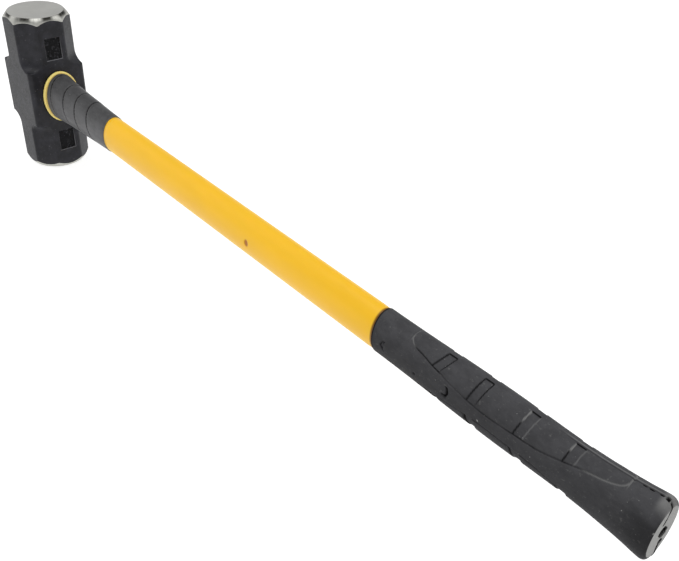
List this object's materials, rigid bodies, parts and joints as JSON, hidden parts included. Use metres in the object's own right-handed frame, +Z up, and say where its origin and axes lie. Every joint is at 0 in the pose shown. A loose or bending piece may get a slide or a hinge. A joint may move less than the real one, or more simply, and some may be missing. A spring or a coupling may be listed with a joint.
{
  "type": "sledgehammer",
  "caption": "Double-faced octagonal sledgehammer head on a long oval jacketed fibreglass handle with a rubber guard below the head and a flared rubber grip at the butt",
  "frame": {"origin": "centre of the lower striking face", "axes": "+Z runs up the head from the lower striking face to the upper one; +X runs along the handle from the head to the butt; Y is across the handle"},
  "size_m": [0.814, 0.0636, 0.173],
  "materials": {
    "forged_steel_head": "satin black coated forged steel, striking faces ground and polished bright",
    "fibreglass_core_rod": "pultruded fibreglass rod",
    "eye_bonding_resin": "set epoxy resin",
    "eye_seal_collar": "pale yellow soft polymer seal",
    "handle_jacket": "moulded yellow polymer, soft sheen",
    "overstrike_guard": "dark grey moulded rubber",
    "rubber_grip": "dark grey moulded rubber"
  },
  "bodies": {
    "root": {"forged_steel_head": "forged_steel_head", "fibreglass_core_rod": "fibreglass_core_rod", "eye_bonding_resin": "eye_bonding_resin", "eye_seal_collar": "eye_seal_collar", "handle_jacket": "handle_jacket", "overstrike_guard": "overstrike_guard", "rubber_grip": "rubber_grip"}
  },
  "joints": []
}
